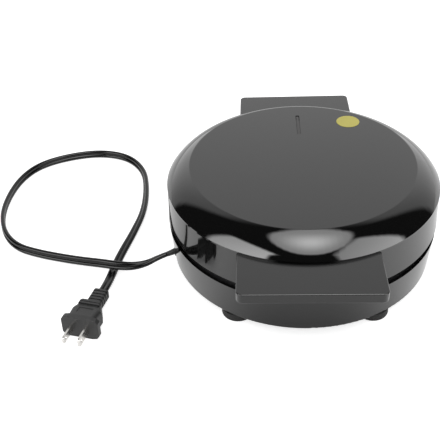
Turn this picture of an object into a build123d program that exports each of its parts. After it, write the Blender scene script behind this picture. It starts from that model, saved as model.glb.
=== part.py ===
from build123d import *
import os
from math import atan2, cos, degrees, hypot, radians, sin, sqrt, tan

# Countertop cupcake maker with a hinged lid, in millimetres.
# The origin is on the table, under the centre of the body. +Z is up, -Y points to the front
# handle, +Y to the hinge, and +X to the right when seen from the front.

# Body seen from above
lid_radius = 111.3
wall = 2.5
base_draft = 2.2
base_spread = 0.8
rim_land = 0.7
rim_slope = 3.0
band_flare = 1.2
crease_inset = 19.3
crease_fillet = 1.6

# Heights, each one counted from the one below it
foot_height = 7.2
base_height = 30.8
floor_thickness = 2.5
plate_proud = 2.9
plate_gap = 0.2
lid_clearance = 4.4
band_height = 28.4
dome_edge = 1.3
dome_rise = 14.6
dome_bulge = 2.0

# Baking plates and their cups
plate_recess = 3.5
web_thickness = 3.0
skirt_thickness = 2.5
skirt_depth = 6.4
outer_cup_count = 6
cup_land = 6.0
plate_border = 19.5
cup_taper = 6.5
cup_wall = 2.2
cup_floor_fillet = 5.0
top_hollow_depth = 11.0

# Hinge
hinge_setback = 16.0
open_angle = 100.0
hub_radius = 8.0
pin_radius = 3.0
pin_running_clearance = 0.05
ear_thickness = 7.0
arm_thickness = 7.0
arm_outer_x = 49.4
ear_arm_gap = 0.4
stop_gap = 0.4
pin_head_radius = 4.5
pin_head_height = 1.5

# Front handle and rear hinge cover, two slabs of one plan
slab_reach = 32.0
slab_half_width = 52.1
slab_screw_length = 11.0
slab_thickness = 8.0
slab_corner = 4.5
slab_edge = 0.8
seat_clearance = 0.1

# Feet
foot_radius = 13.0
foot_inset = 14.0
foot_angle = 33.0
foot_stem_height = 3.5
foot_edge = 1.2
boss_radius = 5.5
counterbore_radius = 4.5
counterbore_depth = 7.5

# Fasteners
screw_radius = 2.0
screw_clearance = 0.25
small_screw_radius = 1.5
small_head_radius = 3.0
tight_head_radius = 2.7
thread_clearance = 0.05
head_height = 2.4

# Cord, plug and strain relief
cord_width = 7.0
cord_thickness = 3.8
exit_angle = 193.0
exit_above_floor = 5.8
relief_neck_radius = 3.7
relief_flange = 0.8
relief_inside = 15.0
relief_collar_end = 1.3
relief_nose_length = 6.0
relief_nose_angle = 203.0
relief_nose_dip = 8.0
relief_turn = 38.0
plug_face_width = 30.8
plug_height = 19.6
plug_body_length = 24.5
plug_relief_length = 19.8
blade_spacing = 12.7
blade_length = 16.5
blade_thickness = 1.5

# Heights worked out from the values above
base_bottom_z = foot_height
floor_top_z = base_bottom_z + floor_thickness
base_top_z = base_bottom_z + base_height
lower_top_z = base_top_z + plate_proud
upper_bottom_z = lower_top_z + plate_gap
lid_bottom_z = upper_bottom_z + lid_clearance
frame_top_z = lid_bottom_z + band_height
dome_edge_z = frame_top_z + dome_edge
plateau_z = dome_edge_z + dome_rise

# Radii and places worked out from the values above
crease_radius = lid_radius - crease_inset
base_top_radius = lid_radius + base_spread
base_bottom_radius = base_top_radius - base_draft
plate_radius = lid_radius - plate_recess
cup_pitch_radius = (plate_radius - plate_border + cup_land) / 1.5
cup_mouth_radius = cup_pitch_radius / 2 - cup_land
cup_floor_radius = cup_mouth_radius - cup_taper
foot_pitch_radius = lid_radius - foot_inset
hinge_y = lid_radius + hinge_setback
hinge_z = lower_top_z + plate_gap / 2
slab_bottom_z = frame_top_z - slab_thickness
arm_inner_x = arm_outer_x - arm_thickness
ear_outer_x = arm_inner_x - ear_arm_gap
ear_inner_x = ear_outer_x - ear_thickness
cup_centres = [(0.0, 0.0)]
for number in range(outer_cup_count):
    turn = radians(30 + 360 / outer_cup_count * number)
    cup_centres.append((cup_pitch_radius * cos(turn), cup_pitch_radius * sin(turn)))
foot_angles = {
    "foot_rear_right": 90 - foot_angle,
    "foot_rear_left": 90 + foot_angle,
    "foot_front_left": 270 - foot_angle,
    "foot_front_right": 270 + foot_angle,
}

# Reflectors, elements and what sits round them
element_radius = 3.1
element_ring_radius = cup_pitch_radius / 2
element_seat = 0.1
element_half_gap = 26.0
reflector_thickness = 0.6
reflector_seat_height = 1.6
reflector_cup_gap = 2.5
reflector_slope = 3.2
reflector_wall_height = 10.0
reflector_screw_x = cup_pitch_radius + 13.0
reflector_screw_length = 8.5
upper_post_height = 17.4
lid_boss_radius = 5.0
lid_boss_height = 8.0
ledge_width = 18.0
ledge_inner_radius = lid_radius - ledge_width
lid_boss_pitch_radius = ledge_inner_radius + ledge_width / 3
dome_screw_length = 8.5
dome_boss_radius = 4.0
exit_height = floor_top_z + exit_above_floor
reflector_bottom_z = floor_top_z + reflector_seat_height
reflector_top_z = reflector_bottom_z + reflector_thickness
cup_depth = lower_top_z - reflector_top_z - reflector_cup_gap - cup_wall
spigot_clearance = 0.3
spigot_thickness = 2.0
spigot_depth = 2.0

# Indicator window in the plateau
window_length = 32.6
window_width = 3.2
window_centre_y = crease_radius - 33.3
window_flange = 2.2
window_clearance = 0.5
window_recess = 0.5
sticker_radius = 10.0
sticker_thickness = 0.2
sticker_place = (43.8, crease_radius - 29.5)

# Cable across the hinge
cable_radius = 2.4
cable_meet_x = -4.0
cable_reach_x = 20.0
cable_half_gap = 0.15
cable_bend = 6.0
cable_base_z = base_top_z - 10.5
cable_lid_z = lid_bottom_z + 11.4
cable_inside_y = lid_radius - 13.0
wire_radius = 1.2
wire_ring_inset = 3.3
terminal_angle = 172.0
terminal_inset = 13.0
terminal_length = 24.0
terminal_depth = 12.0
terminal_height = 12.0
terminal_way = 3.0


def lower(*size):
    """Aligns a cylinder so that it grows upwards from its own origin."""
    return Cylinder(*size, align=(Align.CENTER, Align.CENTER, Align.MIN))


def post(x, y, bottom, top, radius):
    """Upright round solid between two heights."""
    return Pos(x, y, bottom) * lower(radius, top - bottom)


def block(low, high):
    """Box between two corners."""
    size = [high[i] - low[i] for i in range(3)]
    middle = [(high[i] + low[i]) / 2 for i in range(3)]
    return Pos(*middle) * Box(*size)


def radial(inner, outer, angle, height, radius):
    """Round rod that points away from the body's centre, between two distances from it."""
    return Rot(0, 0, angle) * Pos(inner, 0, height) * Rot(0, 90, 0) * lower(radius, outer - inner)


def turned(points):
    """Solid of revolution about Z from a closed outline of (radius, height) points."""
    outline = Polyline(*[(r, 0, z) for r, z in points], close=True)
    return revolve(make_face(outline), Axis.Z)


def polar(radius, angle):
    """X and Y of a place given by its distance and direction from the body's centre."""
    return radius * cos(radians(angle)), radius * sin(radians(angle))


def pan_screw(shank_radius, length, head_radius):
    """Pan-head screw with a cross recess: the head is below Z 0 and the shank points up."""
    head = Pos(0, 0, -head_height) * lower(head_radius, head_height)
    head = fillet(head.edges().sort_by(Axis.Z)[0], head_height * 0.4)
    recess_depth = head_height * 0.45
    for turn in (0, 90):
        slot = Box(head_radius * 1.1, head_radius * 0.25, recess_depth * 2)
        head -= Pos(0, 0, -head_height) * Rot(0, 0, turn) * slot
    return head + lower(shank_radius, length)


def radial_screw(angle, height, head_at, shank_radius, length, head_radius):
    """Screw driven outwards through the wall from inside, with its head against the wall."""
    placed = Rot(0, 0, angle) * Pos(head_at, 0, height) * Rot(0, 90, 0)
    return placed * pan_screw(shank_radius, length, head_radius)


def tube(points, bends, radius):
    """Round tube along straight runs joined by tangent arcs."""
    path = FilletPolyline(*points, radius=bends)
    start = path @ 0
    section = Plane(origin=start, z_dir=path % 0) * Circle(radius)
    return sweep(section, path=path)


# Base


def wall_at(height):
    """Outer radius of the base wall at a height."""
    share = (height - base_bottom_z) / base_height
    return base_bottom_radius + base_draft * share


def band_at(height):
    """Outer radius of the lid's band at a height: it flares more and more towards the base."""
    share = max(frame_top_z - height, 0) / band_height
    return lid_radius + band_flare * share**2


def band_side(inset):
    """Bottom, middle and top of the band's curved side, moved in by an inset."""
    heights = (lid_bottom_z, lid_bottom_z + band_height / 2, frame_top_z)
    return [(band_at(height) - inset, 0, height) for height in heights]


vent_length = 14.0
vent_width = 3.0
ear_screw_length = 9.5
ear_screw_heights = (base_bottom_z + 8.0, base_top_z - 11.0)
ear_screw_x = (ear_inner_x + ear_outer_x) / 2


def ear_screw_angle(side):
    """Direction of an ear's screws, seen from the body's centre."""
    return 90 - side * degrees(atan2(ear_screw_x, sqrt(lid_radius**2 - ear_screw_x**2)))


def base_shell():
    """Moulded bowl of the base: a thin rim, bosses for the plate screws, vents in its floor."""
    body = turned(
        [
            (0, base_bottom_z),
            (base_bottom_radius, base_bottom_z),
            (base_top_radius, base_top_z),
            (0, base_top_z),
        ]
    )
    body = fillet(body.edges().filter_by(GeomType.CIRCLE).sort_by(Axis.Z)[0], 2.0)
    hollow = turned(
        [
            (0, floor_top_z),
            (wall_at(floor_top_z) - wall, floor_top_z),
            (wall_at(base_top_z - rim_slope) - wall, base_top_z - rim_slope),
            (base_top_radius - rim_land, base_top_z),
            (base_top_radius - rim_land, base_top_z + 1),
            (0, base_top_z + 1),
        ]
    )
    body -= hollow
    rib_top = reflector_bottom_z
    rib_radius = cup_pitch_radius - 26
    rib = post(0, 0, floor_top_z - 1, rib_top, rib_radius)
    body += rib - post(0, 0, floor_top_z - 1, rib_top, rib_radius - 2)
    for x in (-reflector_screw_x, reflector_screw_x):
        body += post(x, 0, floor_top_z - 1, rib_top, 4)
        body -= post(x, 0, base_bottom_z + 0.8, rib_top, small_screw_radius + thread_clearance)
    for angle in foot_angles.values():
        x, y = polar(foot_pitch_radius, angle)
        body += post(x, y, floor_top_z - 1, lower_boss_bottom, boss_radius)
        body -= post(x, y, base_bottom_z, lower_boss_bottom, screw_radius + screw_clearance)
        seat_top = base_bottom_z + counterbore_depth
        body -= post(x, y, base_bottom_z, seat_top, counterbore_radius)
    for number in range(12):
        vent = Box(vent_length, vent_width, floor_thickness * 3)
        body -= Rot(0, 0, 30 * number) * Pos(cup_pitch_radius - 15, 0, base_bottom_z) * vent
    inside = wall_at(exit_height) - wall - 3
    body -= radial(inside, lid_radius + 3, exit_angle, exit_height, relief_neck_radius + 0.1)
    cable_x = cable_meet_x - cable_reach_x
    hole = Cylinder(cable_radius + 0.4, 30, rotation=(90, 0, 0))
    body -= Pos(cable_x, lid_radius - 5, cable_base_z) * hole
    for side in (-1, 1):
        for height in ear_screw_heights:
            hole_radius = small_screw_radius + screw_clearance
            angle = ear_screw_angle(side)
            body -= radial(lid_radius - 10, lid_radius + 5, angle, height, hole_radius)
    return body


lower_web_bottom = lower_top_z - web_thickness
lower_boss_bottom = lower_web_bottom - lid_boss_height
cup_mouth_edge = 1.4


def cup_void(top):
    """Inside of one cup: a tapered round hollow with a rounded floor and a softened mouth."""
    mouth = cup_mouth_edge
    hollow = turned(
        [
            (0, 0.5),
            (cup_mouth_radius + mouth + 0.5, 0.5),
            (cup_mouth_radius, -mouth),
            (cup_floor_radius, -cup_depth),
            (0, -cup_depth),
        ]
    )
    floor_edge = hollow.edges().filter_by(GeomType.CIRCLE).sort_by(Axis.Z)[0]
    return Pos(0, 0, top) * fillet(floor_edge, cup_floor_fillet)


def cup_casting(top):
    """Outside of one cup, from the plate's web down to the cup's floor."""
    depth = cup_depth + cup_wall
    body = turned(
        [
            (0, -0.5),
            (cup_mouth_radius + cup_wall, -0.5),
            (cup_floor_radius + cup_wall, -depth),
            (0, -depth),
        ]
    )
    floor_edge = body.edges().filter_by(GeomType.CIRCLE).sort_by(Axis.Z)[0]
    return Pos(0, 0, top) * fillet(floor_edge, cup_floor_fillet + 1)


def lower_plate():
    """Cast plate with a ring of cups round a middle one, a skirt and four screw bosses."""
    body = post(0, 0, lower_web_bottom, lower_top_z, plate_radius)
    body = chamfer(body.edges().filter_by(GeomType.CIRCLE).sort_by(Axis.Z)[-1], 0.6)
    skirt_bottom = lower_web_bottom - skirt_depth
    skirt = post(0, 0, skirt_bottom, lower_top_z - 1, plate_radius)
    skirt -= post(0, 0, skirt_bottom - 1, lower_top_z, plate_radius - skirt_thickness)
    body += skirt
    for x, y in cup_centres:
        body += Pos(x, y, 0) * cup_casting(lower_top_z)
    for angle in foot_angles.values():
        x, y = polar(foot_pitch_radius, angle)
        body += post(x, y, lower_boss_bottom, lower_web_bottom + 1, boss_radius - 1)
        thread = screw_radius + thread_clearance
        body -= post(x, y, lower_boss_bottom, lower_web_bottom + 0.5, thread)
    for x, y in cup_centres:
        body -= Pos(x, y, 0) * cup_void(lower_top_z)
    return body


def plate_screws():
    """Four screws that hold the lower plate down, driven from under the feet."""
    seat = base_bottom_z + counterbore_depth
    length = lower_web_bottom - seat
    screws = []
    for angle in foot_angles.values():
        x, y = polar(foot_pitch_radius, angle)
        screws.append(Pos(x, y, seat) * pan_screw(screw_radius, length, counterbore_radius - 0.5))
    return Compound(children=screws)


def foot(angle):
    """Rubber foot: a round pad with a stem that plugs the screw's counterbore."""
    x, y = polar(foot_pitch_radius, angle)
    pad = post(x, y, 0, base_bottom_z, foot_radius)
    pad = fillet(pad.edges().filter_by(GeomType.CIRCLE).sort_by(Axis.Z)[0], foot_edge)
    stem_top = base_bottom_z + foot_stem_height
    return pad + post(x, y, base_bottom_z - 1, stem_top, counterbore_radius - seat_clearance)


def lower_reflector():
    """Bright steel dish between the cups and the floor, with two screw holes."""
    bottom = reflector_bottom_z
    inner = cup_pitch_radius + cup_floor_radius + cup_wall + 1.1
    outer = inner + reflector_slope
    top = bottom + reflector_wall_height
    t = reflector_thickness
    body = turned(
        [
            (0, bottom),
            (inner, bottom),
            (outer, top),
            (outer - t, top),
            (inner - t, bottom + t),
            (0, bottom + t),
        ]
    )
    for x in (-reflector_screw_x, reflector_screw_x):
        body -= post(x, 0, bottom - 1, bottom + 1, small_screw_radius + screw_clearance)
    return body


def lower_reflector_screws():
    """Two screws that hold the lower reflector on the floor's pads."""
    seat = reflector_top_z
    screw = pan_screw(small_screw_radius, seat - base_bottom_z - 1, small_head_radius)
    screws = []
    for x in (-reflector_screw_x, reflector_screw_x):
        screws.append(Pos(x, 0, seat) * Rot(180, 0, 0) * screw)
    return Compound(children=screws)


element_bend = 6.0
element_leg = 3.0
element_pin = 4.0
element_pin_radius = 1.0


def element_end(side):
    """Where one end of the ring leaves its circle, and the direction it runs in there."""
    x, y = polar(element_ring_radius, side * element_half_gap)
    return Vector(x, y, 0), Vector(y, -x, 0).normalized() * side


def element(centre_z, way):
    """Sheathed ring element with its two ends bent off the plate and a pin in each end."""
    start, along = element_end(1)
    face = Plane(origin=start, z_dir=along) * Circle(element_radius)
    body = revolve(face, Axis.Z, 360 - 2 * element_half_gap)
    rise = Vector(0, 0, way)
    for side in (1, -1):
        corner, along = element_end(side)
        turn_axis = Axis(corner + rise * element_bend, along.cross(rise))
        face = Plane(origin=corner, z_dir=along) * Circle(element_radius)
        body += revolve(face, turn_axis, 90)
        up = Plane(origin=corner + (along + rise) * element_bend, z_dir=rise)
        body += up * lower(element_radius, element_leg)
        body += up * lower(element_pin_radius, element_leg + element_pin)
    return Pos(0, 0, centre_z) * body


def thermostat():
    """Disc thermostat that sits against the underside of the plate, with two tabs."""
    x = cup_pitch_radius + 19
    top = lower_web_bottom
    body = post(x, 0, top - 4, top, 8)
    body += post(x, 0, top - 9, top - 3.9, 7)
    for y in (-3.5, 3.5):
        body += block((x - 3, y - 0.4, top - 13), (x + 3, y + 0.4, top - 8.5))
    return body


fuse_place = (-cup_pitch_radius - 18, 0, lower_web_bottom - 2.6)
fuse_radius = 2.1


def thermal_fuse():
    """Small cut-out in a round sleeve under the lower plate."""
    return Pos(*fuse_place) * Cylinder(fuse_radius, 20, rotation=(90, 0, 0))


def fuse_clip():
    """Metal saddle that holds the thermal fuse against the plate's underside."""
    x = fuse_place[0]
    clip = block((x - 4, -3, lower_web_bottom - 5.6), (x + 4, 3, lower_web_bottom))
    return clip - Pos(*fuse_place) * Cylinder(fuse_radius + 0.1, 30, rotation=(90, 0, 0))


def at_terminal(x, y, z):
    """Place given in the terminal block's own frame: X outwards, Y along the wall, Z up."""
    turn = radians(terminal_angle)
    reach = lid_radius - terminal_inset + x
    return reach * cos(turn) - y * sin(turn), reach * sin(turn) + y * cos(turn), floor_top_z + z


def terminal_block():
    """Ceramic connector beside the cord's entry, with two wire ways and four clamp screws."""
    long = terminal_length
    tall = terminal_height
    body = Box(terminal_depth, long, tall, align=(Align.CENTER, Align.CENTER, Align.MIN))
    body = fillet(body.edges().filter_by(Axis.Z), 1.5)
    for x in (-terminal_way, terminal_way):
        way = Cylinder(wire_radius + 0.3, long + 6, rotation=(90, 0, 0))
        body -= Pos(x, 0, tall / 2) * way
        for y in (-long / 4, long / 4):
            body -= Pos(x, y, tall / 2) * lower(1.8, tall)
    return Rot(0, 0, terminal_angle) * Pos(lid_radius - terminal_inset, 0, floor_top_z) * body


def bend_radii(points, share=0.45):
    """Arc at each inner corner of a route, as large as the shorter of its two runs allows."""
    places = [Vector(*p) for p in points]
    radii = []
    for before, corner, after in zip(places, places[1:], places[2:]):
        first = corner - before
        second = after - corner
        half_turn = radians(first.get_angle(second)) / 2
        radii.append(share * min(first.length, second.length) / tan(half_turn))
    return radii


def wire(points):
    """Insulated lead through the given corners."""
    return tube(points, bend_radii(points), wire_radius)


def along_wall(start, stop, height):
    """Corners of a run that follows the inside of the wall between two directions."""
    count = max(2, round(abs(stop - start) / 14))
    each = (stop - start) / count
    ring = lid_radius - wall - wire_ring_inset
    return [(*polar(ring, start + each * (number + 0.5)), height) for number in range(count)]


def base_wires():
    """Leads from the cord to the terminal block, and on to the hinge cable and thermostat."""
    half_block = terminal_length / 2
    way_height = terminal_height / 2
    low_run = sum(ear_screw_heights) / 2
    high_run = exit_height + relief_neck_radius + relief_flange + wire_radius + 1.2
    cable_x = cable_meet_x - cable_reach_x
    to_hinge = [
        at_terminal(terminal_way, 3 - half_block, way_height),
        at_terminal(terminal_way, -4 - half_block, way_height),
        *along_wall(157, 112, low_run),
        (cable_x - 9, cable_inside_y - 5, (low_run + cable_base_z) / 2),
        (cable_x, cable_inside_y - 5, cable_base_z),
        (cable_x, cable_inside_y - 0.2, cable_base_z),
    ]
    tab_x = cup_pitch_radius + 25.1
    to_thermostat = [
        at_terminal(terminal_way, half_block - 3, way_height),
        at_terminal(terminal_way, half_block + 4, way_height),
        *along_wall(186, 345, high_run),
        (tab_x + 7, -3.5, lower_web_bottom - 11.4),
        (tab_x, -3.5, lower_web_bottom - 11.4),
    ]
    leads = [wire(to_hinge), wire(to_thermostat)]
    core_start = wall_at(exit_height) - relief_inside - 0.2
    for side, lift in ((-1, -1.3), (1, 1.3)):
        core = [
            (*polar(core_start, exit_angle), exit_height + lift),
            (*polar(core_start - 4, exit_angle), exit_height + lift),
            at_terminal(side * 2.6 - 3.2, half_block + 6, way_height + lift),
            at_terminal(side * terminal_way, half_block + 0.2, way_height),
        ]
        leads.append(core)
    return Compound(children=[leads[0], leads[1], wire(leads[2]), wire(leads[3])])


def ear(side):
    """Upright hinge ear screwed to the base wall, with a heel that stops the open lid."""
    hub = Plane.YZ.offset(ear_inner_x) * Pos(hinge_y, hinge_z) * Circle(hub_radius)
    front = lid_radius - 12
    heel_back = hinge_y + 15
    foot_z = base_bottom_z + 5
    swing = radians(open_angle)

    def stop_height(back):
        """Height of the open arm's back edge at a distance behind the hinge."""
        edge = hub_radius + 2
        along = (back - edge * cos(swing)) / sin(swing)
        return hinge_z - edge * sin(swing) + along * cos(swing) - stop_gap

    outline = [
        (front, foot_z),
        (heel_back, foot_z),
        (heel_back, stop_height(heel_back - hinge_y)),
        (hinge_y + hub_radius + 0.5, stop_height(hub_radius + 0.5)),
        (hinge_y + hub_radius, hinge_z),
        (hinge_y - hub_radius, hinge_z),
        (hinge_y - hub_radius - 4, base_top_z),
        (front, base_top_z),
    ]
    profile = make_face(Polyline(*outline, close=True))
    web = extrude(Plane.YZ.offset(ear_inner_x) * profile, ear_thickness)
    web += extrude(hub, ear_thickness)
    heel_outline = [
        (hinge_y + hub_radius + 0.5, foot_z),
        (heel_back, foot_z),
        (heel_back, stop_height(heel_back - hinge_y)),
        (hinge_y + hub_radius + 0.5, stop_height(hub_radius + 0.5)),
    ]
    heel_face = make_face(Polyline(*heel_outline, close=True))
    web += extrude(Plane.YZ.offset(ear_inner_x) * heel_face, arm_outer_x - ear_inner_x)
    web -= Pos(ear_inner_x, hinge_y, hinge_z) * Cylinder(
        pin_radius + pin_running_clearance, 60, rotation=(0, 90, 0)
    )
    if side < 0:
        web = mirror(web, Plane.YZ)
    web -= turned(
        [
            (0, 0),
            (base_bottom_radius + seat_clearance, base_bottom_z),
            (base_top_radius + seat_clearance, base_top_z),
            (base_top_radius + seat_clearance, base_top_z + 0.1),
            (0, base_top_z + 0.1),
        ]
    )
    for height in ear_screw_heights:
        thread = small_screw_radius + thread_clearance
        web -= radial(lid_radius - 5, lid_radius + 7.5, ear_screw_angle(side), height, thread)
    return web


def ear_screws():
    """Four screws that hold the two hinge ears, driven outwards through the base wall."""
    screws = []
    for side in (-1, 1):
        for height in ear_screw_heights:
            inside = wall_at(height) - wall - 0.2
            angle = ear_screw_angle(side)
            size = (small_screw_radius, ear_screw_length, small_head_radius)
            screws.append(radial_screw(angle, height, inside, *size))
    return Compound(children=screws)


# Lid


def lid_frame():
    """Satin band of the lid: a ring wall with a ledge on top and four bosses under it."""
    side = band_side(0)
    inside = [
        (ledge_inner_radius, 0, frame_top_z),
        (ledge_inner_radius, 0, frame_top_z - wall),
        (lid_radius - wall, 0, frame_top_z - wall),
        (band_at(lid_bottom_z) - wall, 0, lid_bottom_z),
    ]
    edges = [ThreePointArc(*side), Polyline(side[-1], *inside, side[0])]
    body = revolve(make_face(edges), Axis.Z)
    boss_bottom = upper_boss_top
    for angle in foot_angles.values():
        x, y = polar(lid_boss_pitch_radius, angle)
        body += post(x, y, boss_bottom, frame_top_z - 1, lid_boss_radius)
        body -= post(x, y, boss_bottom, frame_top_z, screw_radius + screw_clearance)
    for angle in dome_screw_angles:
        x, y = polar(lid_boss_pitch_radius, angle)
        body -= post(x, y, frame_top_z - 5, frame_top_z + 1, small_screw_radius + screw_clearance)
    for angle, height in wall_screw_places:
        hole = small_screw_radius + screw_clearance
        body -= radial(lid_radius - 8, lid_radius + 3, angle, height, hole)
    cable_x = cable_meet_x + cable_reach_x
    hole = Cylinder(cable_radius + 0.4, 30, rotation=(90, 0, 0))
    body -= Pos(cable_x, lid_radius - 5, cable_lid_z) * hole
    return body


upper_web_top = upper_bottom_z + web_thickness
upper_boss_top = upper_web_top + lid_boss_height
dome_screw_angles = (90, 210, 330)
slab_screw_height = slab_bottom_z + 2.5
slab_screw_spread = 13.0
arm_screw_x = (arm_inner_x + arm_outer_x) / 2
arm_screw_spread = degrees(atan2(arm_screw_x, sqrt(lid_radius**2 - arm_screw_x**2)))
arm_screw_height = slab_bottom_z - 6.0
wall_screw_places = [
    (270 - slab_screw_spread, slab_screw_height),
    (270 + slab_screw_spread, slab_screw_height),
    (90 - slab_screw_spread, slab_screw_height),
    (90 + slab_screw_spread, slab_screw_height),
    (90 - arm_screw_spread, arm_screw_height),
    (90 + arm_screw_spread, arm_screw_height),
]


def band_room():
    """Space of the band with a seat clearance, by which slabs and arms are cut back."""
    side = band_side(-seat_clearance)
    low = (side[0][0] + band_flare * 2 * lid_bottom_z / band_height, 0, 0)
    high = (side[-1][0], 0, frame_top_z + 5)
    edges = [Polyline((0, 0, high[2]), (0, 0, 0), low, side[0]), ThreePointArc(*side)]
    edges.append(Polyline(side[-1], high, (0, 0, high[2])))
    return revolve(make_face(edges), Axis.Z)


def slab(way):
    """Flat moulding that stands out from the band: the handle in front, the cover behind."""
    reach = lid_radius + slab_reach
    body = block(
        (-slab_half_width, lid_radius * 0.6, slab_bottom_z),
        (slab_half_width, reach, frame_top_z),
    )
    corners = body.edges().filter_by(Axis.Z).group_by(Axis.Y)[-1]
    body = fillet(corners, slab_corner)
    rims = body.faces().filter_by(Axis.Z)
    body = fillet([e for face in rims for e in face.edges()], slab_edge)
    body -= band_room()
    for spread in (-slab_screw_spread, slab_screw_spread):
        thread = small_screw_radius + thread_clearance
        deep = lid_radius + slab_screw_length - wall + 0.5
        body -= radial(lid_radius - 5, deep, 90 + spread, slab_screw_height, thread)
    if way < 0:
        body = Rot(0, 0, 180) * body
    return body


def slab_screws(way):
    """Two screws that hold a slab, driven outwards through the band from inside the lid."""
    middle = 90 * way
    screws = []
    for spread in (-slab_screw_spread, slab_screw_spread):
        inside = band_at(slab_screw_height) - wall - 0.25
        angle = middle + spread
        size = (small_screw_radius, slab_screw_length, tight_head_radius)
        screws.append(radial_screw(angle, slab_screw_height, inside, *size))
    return Compound(children=screws)


def arm(side):
    """Hinge arm under the rear cover: a hub on the pin, a post and a foot on the band."""
    back = hinge_y + hub_radius + 2
    outline = [
        (hinge_y - hub_radius, hinge_z),
        (hinge_y - hub_radius, slab_bottom_z - 16),
        (lid_radius - 14, slab_bottom_z - 10),
        (lid_radius - 14, slab_bottom_z),
        (back, slab_bottom_z),
        (back, hinge_z + 9),
        (hinge_y + hub_radius, hinge_z),
    ]
    profile = make_face(Polyline(*outline, close=True))
    body = extrude(Plane.YZ.offset(arm_inner_x) * profile, arm_thickness)
    hub = Plane.YZ.offset(arm_inner_x) * Pos(hinge_y, hinge_z) * Circle(hub_radius)
    body += extrude(hub, arm_thickness)
    body -= Pos(arm_inner_x, hinge_y, hinge_z) * Cylinder(pin_radius, 60, rotation=(0, 90, 0))
    body -= band_room()
    thread = small_screw_radius + thread_clearance
    angle = 90 - arm_screw_spread
    deep = lid_radius + slab_screw_length - wall + 0.5
    body -= radial(lid_radius - 5, deep, angle, arm_screw_height, thread)
    if side < 0:
        body = mirror(body, Plane.YZ)
    return body


def arm_screws():
    """Two screws that hold the hinge arms, driven outwards through the band."""
    screws = []
    for spread in (-arm_screw_spread, arm_screw_spread):
        inside = band_at(arm_screw_height) - wall - 0.35
        size = (small_screw_radius, slab_screw_length, tight_head_radius)
        screws.append(radial_screw(90 + spread, arm_screw_height, inside, *size))
    return Compound(children=screws)


def hinge_pin(side):
    """Headed pin pressed in the lid's arm, with its free end running in the base's ear."""
    length = arm_outer_x - ear_inner_x + 1
    pin = lower(pin_radius, length)
    pin = chamfer(pin.edges().sort_by(Axis.Z)[-1], 0.5)
    pin += Pos(0, 0, -pin_head_height) * lower(pin_head_radius, pin_head_height)
    pin = fillet(pin.edges().sort_by(Axis.Z)[0], 0.6)
    placed = Pos(arm_outer_x, hinge_y, hinge_z) * Rot(0, -90, 0) * pin
    return placed if side > 0 else mirror(placed, Plane.YZ)


def lid_dome():
    """Glossy top: a flat plateau, a crease, and a shoulder that swells down to a thin edge."""

    def outline(inset):
        shoulder_top = (crease_radius - inset * 0.4, 0, plateau_z - inset)
        edge_radius = lid_radius - inset
        shoulder_end = (edge_radius, 0, dome_edge_z)
        middle_r = (shoulder_top[0] + shoulder_end[0]) / 2
        middle_z = (shoulder_top[2] + shoulder_end[2]) / 2
        run = shoulder_end[0] - shoulder_top[0]
        drop = shoulder_top[2] - shoulder_end[2]
        chord = hypot(run, drop)
        middle = (middle_r + dome_bulge * drop / chord, 0, middle_z + dome_bulge * run / chord)
        return [
            Line((0, 0, frame_top_z), (0, 0, plateau_z - inset)),
            Line((0, 0, plateau_z - inset), shoulder_top),
            ThreePointArc(shoulder_top, middle, shoulder_end),
            Line(shoulder_end, (edge_radius, 0, frame_top_z)),
            Line((edge_radius, 0, frame_top_z), (0, 0, frame_top_z)),
        ]

    body = revolve(make_face(outline(0)), Axis.Z)
    circles = body.edges().filter_by(GeomType.CIRCLE).group_by(Axis.Z)
    body = fillet(circles[-1], crease_fillet)
    outside = body
    body -= revolve(make_face(outline(wall)), Axis.Z)
    spigot_outer = ledge_inner_radius - spigot_clearance
    spigot = post(0, 0, frame_top_z - spigot_depth, plateau_z - wall, spigot_outer)
    inner = spigot_outer - spigot_thickness
    spigot -= post(0, 0, frame_top_z - spigot_depth, plateau_z, inner)
    body += spigot
    for angle in dome_screw_angles:
        x, y = polar(lid_boss_pitch_radius, angle)
        body += post(x, y, frame_top_z, plateau_z, dome_boss_radius) & outside
        thread = small_screw_radius + thread_clearance
        deep = frame_top_z + dome_screw_length - wall + 1
        body -= post(x, y, frame_top_z - 1, deep, thread)
    hole = Box(window_width, window_length, wall * 3)
    body -= Pos(0, window_centre_y, plateau_z) * fillet(hole.edges().filter_by(Axis.Z), 1.0)
    return body


def dome_screws():
    """Three screws that hold the dome on the ledge, driven from inside the lid."""
    screws = []
    for angle in dome_screw_angles:
        x, y = polar(lid_boss_pitch_radius, angle)
        seat = frame_top_z - wall
        screw = pan_screw(small_screw_radius, dome_screw_length, tight_head_radius)
        screws.append(Pos(x, y, seat) * screw)
    return Compound(children=screws)


def top_sphere():
    """Radius of the ball that a hollow in the upper plate is a cap of."""
    return (cup_mouth_radius**2 + top_hollow_depth**2) / (2 * top_hollow_depth)


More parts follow.
